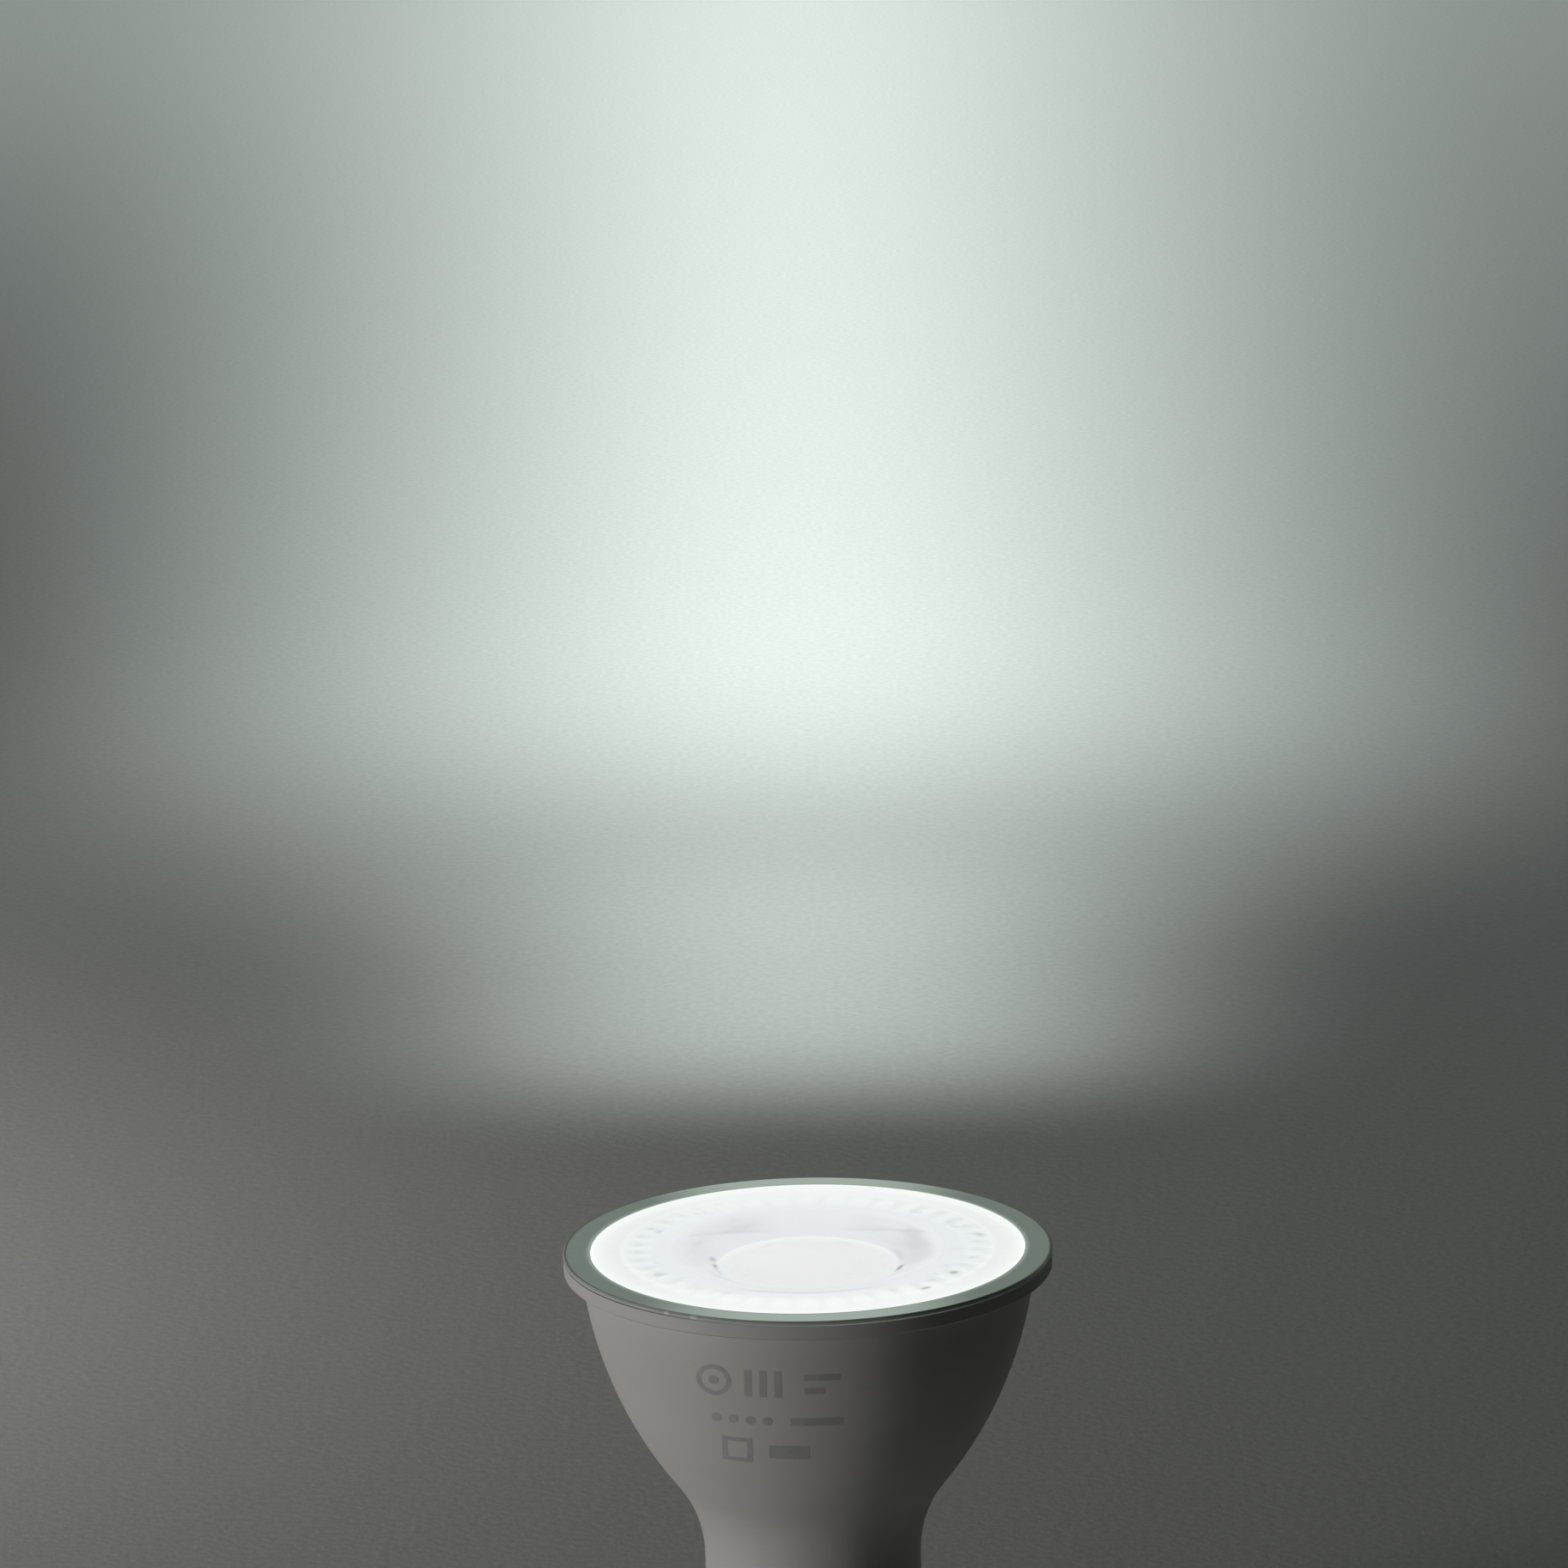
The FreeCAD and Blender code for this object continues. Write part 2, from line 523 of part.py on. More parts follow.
# Light source: square base with a coated disc
def build_light_source():
    half = "-dims.emitter_side / 2"
    new_box("led_emitter", "dims.emitter_side", "dims.emitter_side", "dims.emitter_height",
            half, half, "derived.light_board_top")
    disc = doc.addObject("Part::Cylinder", "phosphor_disc")
    disc.Label = "phosphor_disc"
    disc.setExpression("Radius", "dims.phosphor_radius")
    disc.setExpression("Height", "dims.phosphor_height")
    move_to(disc, z="derived.light_board_top + dims.emitter_height")
    sub_parts.append(disc)


# Board screws: pan heads that press the light source board on the cup
def build_board_screws():
    for number, side in enumerate(("", "-"), start=1):
        body = new_body("board_screw_%d" % number)
        revolve(body, "screw_%d_body" % number, [
            ("0", "-dims.screw_length"),
            ("dims.screw_radius * 0.6", "-dims.screw_length"),
            ("dims.screw_radius", "dims.screw_radius * 0.4 - dims.screw_length"),
            ("dims.screw_radius", "0"),
            ("dims.screw_head_radius", "0"),
            ("dims.screw_head_radius", "dims.screw_head_height / 2"),
            ("dims.screw_head_radius - dims.screw_head_height / 2", "dims.screw_head_height"),
            ("0", "dims.screw_head_height"),
        ])
        move_to(body, side + "derived.screw_x", side + "derived.screw_y",
                "derived.light_board_top")


# Cap pins: turned studs with a head, riveted over inside the cap's end wall
def build_cap_pins():
    for name, side in (("pin_left", "-"), ("pin_right", "")):
        body = new_body(name)
        head_top = "dims.pin_head_height - dims.pin_length"
        revolve(body, name + "_body", [
            ("0", "-dims.pin_length"),
            ("dims.pin_head_radius - dims.pin_head_bevel", "-dims.pin_length"),
            ("dims.pin_head_radius", "dims.pin_head_bevel - dims.pin_length"),
            ("dims.pin_head_radius", head_top),
            ("dims.pin_neck_radius", head_top),
            ("dims.pin_neck_radius", "0"),
            ("dims.pin_shank_radius", "0"),
            ("dims.pin_shank_radius", "dims.cap_floor"),
            ("dims.rivet_radius", "dims.cap_floor"),
            ("dims.pin_shank_radius", "derived.rivet_top"),
            ("0", "derived.rivet_top"),
        ])
        move_to(body, side + "dims.pin_spacing / 2")


# Driver board: upright board with wings in the bowl
def build_driver_board():
    body = new_body("driver_board")
    sketch = new_sketch(body, "board_outline", "XZ_Plane", "-dims.board_face")
    draw_run(sketch, [
        ("-derived.board_half", "derived.board_bottom"),
        ("derived.board_half", "derived.board_bottom"),
        ("derived.board_half", "derived.board_wing_foot"),
        ("derived.wing_half", "derived.board_wing_foot"),
        ("derived.wing_half", "derived.board_top"),
        ("-derived.wing_half", "derived.board_top"),
        ("-derived.wing_half", "derived.board_wing_foot"),
        ("-derived.board_half", "derived.board_wing_foot"),
    ])
    extrude(body, "Pad", "board", sketch, "dims.board_thickness")


# Electrolytic capacitors: cans with a crimp groove and a broken top edge
def build_capacitor(name, radius, length, y, z):
    body = new_body(name)
    groove = "(%s / 8)" % radius
    revolve(body, name + "_can", [
        ("0", "0"),
        (radius, "0"),
        (radius, groove),
        (radius + " - " + groove, "2 * " + groove),
        (radius, "3 * " + groove),
        (radius, length + " - " + groove),
        (radius + " - " + groove, length),
        ("0", length),
    ])
    move_to(body, "0", y, z)


# Filter inductor: drum core and its winding
def build_inductor():
    x = "dims.upper_middle - dims.core_width / 2 - dims.stack_gap - dims.drum_radius"
    place = (x, "derived.component_face + dims.drum_radius", "derived.core_bottom")
    core = new_body("inductor_core")
    revolve(core, "drum", [
        ("0", "0"),
        ("dims.drum_radius", "0"),
        ("dims.drum_radius", "dims.drum_flange"),
        ("dims.drum_core_radius", "dims.drum_flange"),
        ("dims.drum_core_radius", "dims.drum_height - dims.drum_flange"),
        ("dims.drum_radius", "dims.drum_height - dims.drum_flange"),
        ("dims.drum_radius", "dims.drum_height"),
        ("0", "dims.drum_height"),
    ])
    move_to(core, *place)
    winding = new_body("inductor_winding")
    outside = "dims.drum_radius - 3 * dims.fit"
    revolve(winding, "drum_coil", [
        ("dims.drum_core_radius", "dims.drum_flange"),
        (outside, "dims.drum_flange"),
        (outside, "dims.drum_height - dims.drum_flange"),
        ("dims.drum_core_radius", "dims.drum_height - dims.drum_flange"),
    ])
    move_to(winding, *place)


# Transformer: core with three limbs and the winding round the middle one
def build_transformer():
    core = new_body("transformer_core")
    frame = new_sketch(core, "core_outline", "XZ_Plane")
    half = "dims.core_width / 2"
    draw_rectangle(frame, "-" + half, half, "0", "dims.core_height")
    for side in ("", "-"):
        ends = (side + "dims.core_middle / 2",
                side + "(dims.core_middle / 2 + derived.window_width)")
        left, right = sorted(ends, key=size)
        draw_rectangle(frame, left, right, "dims.core_limb", "dims.core_height - dims.core_limb")
    extrude(core, "Pad", "core_frame", frame, "dims.core_depth", "down")
    place = ("dims.upper_middle", "derived.core_front", "derived.core_bottom")
    move_to(core, *place)
    winding = new_body("transformer_winding")
    coil = new_sketch(winding, "coil_outline", "XY_Plane", "dims.core_limb + dims.fit")
    outer = "(dims.core_middle / 2 + derived.window_width - dims.fit)"
    inner = "(dims.core_middle / 2 + dims.fit)"
    draw_rectangle(coil, "-" + outer, outer, "dims.fit - dims.coil_overhang",
                   "dims.core_depth + dims.coil_overhang")
    draw_rectangle(coil, "-" + inner, inner, "-dims.fit", "dims.core_depth + dims.fit")
    extrude(winding, "Pad", "coil", coil,
            "dims.core_height - 2 * (dims.core_limb + dims.fit)")
    move_to(winding, *place)


# Packages with legs: block on the back of the driver board with a row of legs on each side
def build_package(name, width, height, depth, x, leg_count):
    body = new_body(name)
    outline = new_sketch(body, name + "_block_outline", "XZ_Plane")
    half = "(%s / 2)" % width
    draw_rectangle(outline, "-" + half, half, "0", height)
    extrude(body, "Pad", name + "_block", outline, depth)
    leg = new_sketch(body, name + "_leg_outline", "YZ_Plane", half)
    pitch = "(%s / %d)" % (height, leg_count)
    draw_rectangle(leg, "-dims.leg_thickness", "0",
                   pitch + " / 2 - dims.leg_breadth / 2", pitch + " / 2 + dims.leg_breadth / 2")
    pad = extrude(body, "Pad", name + "_leg", leg, "dims.leg_out")
    row = body.newObject("PartDesign::LinearPattern", name + "_leg_row")
    row.Originals = [pad]
    row.Direction = (origin_feature(body, "Z_Axis"), [""])
    row.setExpression("Length", "%s * %d" % (pitch, leg_count - 1))
    row.Occurrences = leg_count
    body.Tip = row
    for index in range(leg_count):
        other = new_sketch(body, "%s_other_leg_outline_%d" % (name, index), "YZ_Plane", "-" + half)
        middle = "%s * %.1f" % (pitch, index + 0.5)
        draw_rectangle(other, "-dims.leg_thickness", "0",
                       middle + " - dims.leg_breadth / 2", middle + " + dims.leg_breadth / 2")
        extrude(body, "Pad", "%s_other_leg_%d" % (name, index), other, "dims.leg_out", "down")
    move_to(body, x, "derived.component_back", "derived.package_top - " + height)


# Fusible resistor: round body lying across the board, thicker at its two end caps
def build_fuse_resistor():
    body = new_body("fuse_resistor")
    cap = "dims.fuse_length / 5"
    waist = "dims.fuse_radius * 0.85"
    revolve(body, "fuse_body", [
        ("0", "-dims.fuse_length / 2"),
        ("dims.fuse_radius", "-dims.fuse_length / 2"),
        ("dims.fuse_radius", cap + " - dims.fuse_length / 2"),
        (waist, "1.3 * %s - dims.fuse_length / 2" % cap),
        (waist, "dims.fuse_length / 2 - 1.3 * " + cap),
        ("dims.fuse_radius", "dims.fuse_length / 2 - " + cap),
        ("dims.fuse_radius", "dims.fuse_length / 2"),
        ("0", "dims.fuse_length / 2"),
    ])
    body.Placement = FreeCAD.Placement(
        FreeCAD.Vector(), FreeCAD.Rotation(FreeCAD.Vector(0, 1, 0), 90))
    move_to(body, "0", "derived.component_back - dims.fuse_radius",
            "derived.board_bottom + dims.fuse_foot")


# Chip resistors and output diode on the back of the driver board
def build_small_parts():
    for number in range(4):
        side = "" if number % 2 else "-"
        step = number // 2
        x = "%sdims.resistor_offset - dims.resistor_width / 2" % side
        z = "derived.board_bottom + dims.resistor_foot + %d * dims.resistor_pitch" % step
        new_box("chip_resistor_%d" % (number + 1), "dims.resistor_width", "dims.resistor_depth",
                "dims.resistor_height", x, "derived.board_back - dims.resistor_depth", z)
    new_box("output_diode", "dims.diode_width", "dims.diode_depth", "dims.diode_height",
            "dims.diode_offset - dims.diode_width / 2", "derived.board_back - dims.diode_depth",
            "derived.board_top - dims.diode_drop - dims.diode_height")


# Leads: round insulated wires along straight runs and arcs
def build_lead(name, route, x):
    body = new_body(name)
    path = new_sketch(body, name + "_route", "YZ_Plane")
    draw_run(path, route, closed=False)
    first = route[0]
    if name.endswith("_lead"):
        section = new_sketch(body, name + "_section", "XY_Plane", first[1])
        draw_circle(section, "0", first[0], "dims.lead_radius")
    else:
        section = new_sketch(body, name + "_section", "XZ_Plane", "-(%s)" % first[0])
        draw_circle(section, "0", first[1], "dims.lead_radius")
    pipe = body.newObject("PartDesign::AdditivePipe", name + "_wire")
    pipe.Profile = section
    pipe.Spine = path
    move_to(body, x)


def build_leads():
    rise = "derived.rivet_top + dims.mains_lead_rise"
    mains = [
        ("0", "derived.rivet_top"),
        ("0", rise, "dims.lead_bend", "left"),
        ("-dims.lead_bend", rise + " + dims.lead_bend"),
        ("dims.board_face", rise + " + dims.lead_bend"),
    ]
    build_lead("live_lead", mains, "dims.pin_spacing / 2")
    build_lead("neutral_lead", mains, "-dims.pin_spacing / 2")
    start = "derived.board_top - dims.light_lead_drop"
    light = [
        ("derived.board_back", start),
        ("dims.lead_bend - dims.light_lead_distance", start, "dims.lead_bend", "right"),
        ("-dims.light_lead_distance", start + " + dims.lead_bend"),
        ("-dims.light_lead_distance", "derived.light_board_top + dims.light_lead_end"),
    ]
    build_lead("led_lead_positive", light, "dims.light_lead_offset")
    build_lead("led_lead_negative", light, "-dims.light_lead_offset")


def build_all():
    build_housing()
    build_bezel()
    build_lens()
    build_heat_sink()
    build_drilled_disc("thermal_pad", "derived.sink_top", "dims.pad_thickness")
    build_drilled_disc("led_board", "derived.light_board_bottom", "dims.light_board")
    build_light_source()
    build_board_screws()
    build_cap_pins()
    build_driver_board()
    build_capacitor("bulk_capacitor", "dims.bulk_radius", "dims.bulk_length",
                    "derived.component_face + dims.bulk_radius", "derived.bulk_bottom")
    build_capacitor("output_capacitor", "dims.output_radius", "dims.output_length",
                    "derived.component_back - dims.output_radius", "derived.output_bottom")
    build_inductor()
    build_transformer()
    build_package("bridge_rectifier", "dims.rectifier_width", "dims.rectifier_height",
                  "dims.rectifier_depth", "dims.package_offset", 2)
    build_package("driver_ic", "dims.chip_width", "dims.chip_height",
                  "dims.chip_depth", "-dims.package_offset", 4)
    build_fuse_resistor()
    build_small_parts()
    build_leads()


def check_model():
    """Every object is up to date, every sub-part is a valid solid and every cut removes something."""
    faults = []
    for item in doc.Objects:
        if "Invalid" in item.State or "Error" in item.State:
            faults.append("%s is %s" % (item.Name, item.State))
        if item.TypeId == "PartDesign::Pocket":
            before = item.BaseFeature.Shape.Volume
            if not item.Shape.Volume < before:
                faults.append("%s cuts nothing" % item.Name)
    for sub_part in sub_parts:
        shape = sub_part.Shape
        if shape.isNull() or not shape.isValid() or len(shape.Solids) != 1:
            faults.append("%s is not one valid solid" % sub_part.Label)
    if faults:
        raise RuntimeError("; ".join(faults))


def write_steps():
    os.makedirs("parts", exist_ok=True)
    for sub_part in sub_parts:
        sub_part.Shape.exportStep(os.path.join("parts", sub_part.Label + ".step"))
        print("%-20s %9.2f mm3" % (sub_part.Label, sub_part.Shape.Volume))


doc = FreeCAD.newDocument("spotlight_bulb")
sub_parts = []
sheet = fill_sheet("dims", [(alias, str(value), meaning)
                            for alias, value, meaning in DRIVING_SIZES])
fill_sheet("derived", [(alias, "=" + formula, "worked out") for alias, formula in DERIVED_SIZES])
build_all()
doc.recompute()
check_model()
write_steps()
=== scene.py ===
import json
import math

import bmesh
import bpy
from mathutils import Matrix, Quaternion, Vector
from mathutils.bvhtree import BVHTree


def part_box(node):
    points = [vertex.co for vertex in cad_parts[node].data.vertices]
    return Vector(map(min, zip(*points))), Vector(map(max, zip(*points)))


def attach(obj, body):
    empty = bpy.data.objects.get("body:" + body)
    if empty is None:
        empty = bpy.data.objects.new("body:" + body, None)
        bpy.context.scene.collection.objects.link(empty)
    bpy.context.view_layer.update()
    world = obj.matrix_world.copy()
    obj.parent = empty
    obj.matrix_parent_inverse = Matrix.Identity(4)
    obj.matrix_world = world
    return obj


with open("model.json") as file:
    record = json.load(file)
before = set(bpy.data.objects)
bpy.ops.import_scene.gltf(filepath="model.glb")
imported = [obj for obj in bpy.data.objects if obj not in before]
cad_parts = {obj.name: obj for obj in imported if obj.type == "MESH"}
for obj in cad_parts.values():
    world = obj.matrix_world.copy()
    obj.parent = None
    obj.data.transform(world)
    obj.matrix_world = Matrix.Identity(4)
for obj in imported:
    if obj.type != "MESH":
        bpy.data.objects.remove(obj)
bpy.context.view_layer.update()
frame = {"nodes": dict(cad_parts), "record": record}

MM = 0.001
NODES = frame["nodes"]

# Heights of the lamp's top and of the pins' lower ends, from the frame
_, BEZEL_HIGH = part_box("front_bezel")
PINS_LOW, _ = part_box("pin_left")
LENS_PLANE = BEZEL_HIGH.z

# Edges between flat faces that meet at more than this angle stay sharp
SHARP_ANGLE = math.radians(32)

# The bezel's face: radii of its window and its rounded edge, in millimetres
BEZEL_WINDOW = 22.2
BEZEL_LIP = 24.75

# Painted glow of the bezel, given as emission: at its sides, near and far, beside the lens and on
# its edge
BEZEL_LIGHT_SIDES = (0.098, 0.128, 0.106, 1.0)
BEZEL_LIGHT_AHEAD = (0.28, 0.345, 0.297, 1.0)
BEZEL_LIGHT_WINDOW = (0.23, 0.28, 0.25, 1.0)
BEZEL_LIGHT_EDGE = (0.006, 0.007, 0.006, 1.0)

# Two small pale chips on the bezel's edge: direction and half angle in degrees
BEZEL_CHIPS = ((235.5, 0.9), (242.8, 1.2))

# The lit lens: its light at distances from the axis, in millimetres, out to LENS_REACH
LENS_REACH = 22.6
LENS_STRENGTH = 0.91
LENS_RINGS = (
    (0.0, (0.86, 0.86, 0.86)),
    (9.0, (0.85, 0.85, 0.85)),
    (9.5, (0.80, 0.82, 0.84)),
    (13.0, (0.80, 0.825, 0.845)),
    (15.9, (0.79, 0.82, 0.83)),
    (16.6, (0.80, 0.84, 0.835)),
    (18.6, (0.81, 0.85, 0.84)),
    (18.95, (0.86, 0.89, 0.885)),
    (19.4, (0.80, 0.835, 0.825)),
    (20.6, (0.83, 0.865, 0.85)),
    (21.6, (0.89, 0.92, 0.91)),
    (22.3, (0.96, 0.99, 0.98)),
)

# Only the lens's top face is lit: heights where the light begins and where it is full
LENS_LIT_FROM = 46.05 * MM
LENS_LIT_TO = 46.2 * MM

# The prisms round the lens: their number, and the direction of the first in degrees
PRISM_COUNT = 40
PRISM_PHASE = 3.0

# Rings of the lens that hold a kind of shadow: middle and half width in millimetres
PRISM_RING = (17.45, 1.75)
BLOT_RING = (17.0, 2.4)
SWIRL_RING = (11.6, 2.6)
GRAIN_RING = (7.8, 1.9)

# Single shadows in the lens: direction in degrees from the right hand side, distance from the
# axis in millimetres, half width round in degrees and across in millimetres, and depth
LENS_MARKS = (
    (-90, 15.4, 38, 0.5, 0.16),
    (-16, 9.7, 8, 0.5, 0.58),
    (12, 9.6, 16, 0.5, 0.14),
    (173, 9.8, 5, 0.55, 0.34),
    (184, 9.5, 4, 0.45, 0.30),
    (192, 9.5, 16, 0.5, 0.18),
    (28, 12.6, 10, 0.9, 0.10),
    (8, 11.2, 36, 2.4, 0.15),
    (171, 10.8, 20, 1.4, 0.06),
    (232, 10.4, 36, 1.5, 0.12),
    (308, 10.4, 36, 1.5, 0.12),
    (-33, 17.5, 2.3, 0.65, 0.42),
    (-51, 18.7, 2.5, 0.5, 0.50),
    (10, 18.0, 2.6, 0.8, 0.24),
    (27, 16.6, 3.0, 0.8, 0.14),
    (46, 16.2, 3.0, 0.8, 0.12),
    (158, 16.5, 2.6, 0.7, 0.20),
    (209, 17.3, 2.6, 0.7, 0.18),
    (143, 5.0, 16, 0.7, 0.09),
    (41, 5.0, 16, 0.7, 0.09),
)

# The arc of the fold in the well's far wall: its centre on the Y axis and its radius, in
# millimetres
FOLD_CENTRE = -7.2
FOLD_REACH = 17.5

# Printed marks: how far they stand off the bowl, the size of their cells, how far in front the
# rays start that find the bowl, and the corners of a ring
PRINT_LIFT = 0.02 * MM
PRINT_CELL = 0.35 * MM
PRINT_RAY_START = 40 * MM
RING_STEPS = 40

# Heights of the middles of the three rows of print, and sizes that its shapes share
TOP_ROW = 40.6 * MM
MIDDLE_ROW = 36.3 * MM
LOW_ROW = 32.6 * MM
DOT_RADIUS = 0.5 * MM
BAR_WIDTH = 0.7 * MM

# The floor: side in metres, and its gap under the pins
FLOOR_SIDE = 6.0
FLOOR_GAP = 0.05 * MM

# The photograph's view: pixels of its side and of the lens's middle, scale at the lens plane,
# distance, angles in degrees, sensor in millimetres, and the depth that is drawn in metres
PHOTO_SIDE = 1826
LENS_CENTRE_PIXEL = (940.5, 1452.2)
PIXELS_PER_MM = 11.38
CAMERA_DISTANCE = 700 * MM
VIEW_ELEVATION = 17.2
VIEW_ROLL = 1.05
SENSOR = 36.0
CLIP_START = 0.01
CLIP_END = 20.0

# Colours of the light: from the left, over the floor behind the lamp, and from all round
WARM_WHITE = (1.0, 0.985, 0.965)
COOL_WHITE = (0.88, 1.0, 0.965)
WORLD_COLOUR = (0.95, 0.97, 1.0, 1.0)
WORLD_STRENGTH = 0.003


# Node helpers

def new_material(name):
    """Material with its node tree and shader; its own light isn't sampled as a lamp."""
    material = bpy.data.materials.new(name)
    material.use_nodes = True
    material.cycles.emission_sampling = "NONE"
    return material, material.node_tree, material.node_tree.nodes["Principled BSDF"]


def add_node(tree, kind, links=None, **values):
    """Node of a kind, with its plain properties set and its inputs linked or given."""
    node = tree.nodes.new(kind)
    for key, value in values.items():
        setattr(node, key, value)
    for key, source in (links or {}).items():
        if isinstance(source, bpy.types.NodeSocket):
            tree.links.new(source, node.inputs[key])
        else:
            node.inputs[key].default_value = source
    return node


def math_node(tree, operation, first, second=0.0, third=0.0):
    """Output of a Math node."""
    node = add_node(tree, "ShaderNodeMath", {0: first, 1: second, 2: third}, operation=operation)
    return node.outputs[0]


def ramp_between(tree, value, low, high, from_low=0.0, from_high=1.0):
    """Output that goes smoothly from low to high as the value crosses a range."""
    node = add_node(tree, "ShaderNodeMapRange",
                    {"Value": value, "From Min": from_low, "From Max": from_high,
                     "To Min": low, "To Max": high},
                    interpolation_type="SMOOTHSTEP")
    return node.outputs["Result"]


def mix_colours(tree, factor, first, second):
    """Output colour between two colours."""
    node = add_node(tree, "ShaderNodeMix", {"Factor": factor, "A": first, "B": second},
                    data_type="RGBA")
    return node.outputs["Result"]


def object_place(tree):
    """Object coordinates in metres, which are those of the lamp."""
    return add_node(tree, "ShaderNodeTexCoord").outputs["Object"]


def noise(tree, place, size, detail=3.0, roughness=0.5):
    """Noise whose blobs measure about the given size in metres."""
    node = add_node(tree, "ShaderNodeTexNoise",
                    {"Vector": place, "Scale": 1 / size, "Detail": detail,
                     "Roughness": roughness})
    return node.outputs["Fac"]


def bump(tree, height, distance, strength=1.0, normal=None):
    """Normal bent by a height from 0 to 1 that stands for a distance in metres."""
    links = {"Height": height, "Distance": distance, "Strength": strength}
    if normal is not None:
        links["Normal"] = normal
    return add_node(tree, "ShaderNodeBump", links).outputs["Normal"]


def rgb(red, green, blue):
    """Opaque colour."""
    return (red, green, blue, 1.0)


def shade(colour, factor):
    """The colour made lighter or darker."""
    return rgb(*(min(1.0, part * factor) for part in colour[:3]))


def polar_place(tree, place):
    """Outputs with the distance from the lamp's axis in millimetres and the way there."""
    parts = add_node(tree, "ShaderNodeSeparateXYZ", {"Vector": place})
    flat = add_node(tree, "ShaderNodeCombineXYZ",
                    {"X": parts.outputs["X"], "Y": parts.outputs["Y"]})
    length = add_node(tree, "ShaderNodeVectorMath", {0: flat.outputs["Vector"]},
                      operation="LENGTH")
    radius = math_node(tree, "MULTIPLY", length.outputs["Value"], 1000.0)
    way = add_node(tree, "ShaderNodeVectorMath", {0: flat.outputs["Vector"]},
                   operation="NORMALIZE")
    return radius, way.outputs["Vector"]


def towards(tree, way, degrees):
    """Output with the cosine of the angle between a way from the axis and a direction."""
    angle = math.radians(degrees)
    product = add_node(tree, "ShaderNodeVectorMath",
                       {0: way, 1: (math.cos(angle), math.sin(angle), 0.0)},
                       operation="DOT_PRODUCT")
    return product.outputs["Value"]


def band(tree, value, middle, half_width):
    """Output that rises from 0 to 1 and falls again round a middle value."""
    away = math_node(tree, "ABSOLUTE", math_node(tree, "SUBTRACT", value, middle))
    return ramp_between(tree, away, 1.0, 0.0, 0.0, half_width)


def times(tree, *factors):
    """Output with the product of all factors."""
    product = factors[0]
    for factor in factors[1:]:
        product = math_node(tree, "MULTIPLY", product, factor)
    return product


def streaks(tree, radius, way, along, across, detail=3.0):
    """Noise drawn out round the axis: blobs per turn along, and per millimetre across."""
    turned = add_node(tree, "ShaderNodeVectorMath", {0: way, "Scale": along / math.tau},
                      operation="SCALE")
    lift = add_node(tree, "ShaderNodeCombineXYZ", {"Z": times(tree, radius, across)})
    place = add_node(tree, "ShaderNodeVectorMath",
                     {0: turned.outputs["Vector"], 1: lift.outputs["Vector"]})
    node = add_node(tree, "ShaderNodeTexNoise",
                    {"Vector": place.outputs["Vector"], "Scale": 1.0, "Detail": detail})
    return node.outputs["Fac"]


def surface_material(name, colour, grain, roughness, metallic=0.0, change=0.12, coat=0.0):
    """Plain surface with uneven colour and gloss and a fine grain."""
    material, tree, shader = new_material(name)
    place = object_place(tree)
    blotches = noise(tree, place, 12 * grain, detail=4.0)
    fine = noise(tree, place, grain, detail=4.0, roughness=0.6)
    mixed = mix_colours(tree, ramp_between(tree, blotches, 0.0, 1.0, 0.3, 0.7),
                        shade(colour, 1 - change), shade(colour, 1 + change / 2))
    speckled = mix_colours(tree, ramp_between(tree, fine, 0.0, 0.35, 0.45, 0.8),
                           mixed, shade(colour, 1 - 1.5 * change))
    tree.links.new(speckled, shader.inputs["Base Color"])
    tree.links.new(ramp_between(tree, fine, roughness - 0.06, roughness + 0.08, 0.3, 0.7),
                   shader.inputs["Roughness"])
    tree.links.new(bump(tree, fine, 0.01 * MM), shader.inputs["Normal"])
    shader.inputs["Metallic"].default_value = metallic
    shader.inputs["Coat Weight"].default_value = coat
    return material


# Materials of the outside

def housing_material():
    """White moulded plastic with a fine spark-eroded grain and faint handling marks."""
    material, tree, shader = new_material("housing_plastic")
    place = object_place(tree)
    cloud = noise(tree, place, 9 * MM, detail=5.0)
    smudge = noise(tree, place, 3.5 * MM, detail=6.0, roughness=0.65)
    grain = noise(tree, place, 0.16 * MM, detail=2.0, roughness=0.6)
    white = rgb(0.70, 0.695, 0.68)
    tint = mix_colours(tree, ramp_between(tree, cloud, 0.0, 1.0, 0.35, 0.65),
                       shade(white, 0.965), white)
    dust = mix_colours(tree, ramp_between(tree, smudge, 0.0, 0.25, 0.58, 0.78),
                       tint, shade(white, 0.86))
    grained = mix_colours(tree, ramp_between(tree, grain, 0.0, 0.22, 0.52, 0.75),
                          dust, shade(white, 0.80))
    tree.links.new(grained, shader.inputs["Base Color"])
    tree.links.new(ramp_between(tree, smudge, 0.50, 0.62, 0.35, 0.7), shader.inputs["Roughness"])
    low = bump(tree, cloud, 0.02 * MM, 0.4)
    tree.links.new(bump(tree, grain, 0.006 * MM, 0.8, low), shader.inputs["Normal"])
    shader.inputs["Specular IOR Level"].default_value = 0.42
    return material


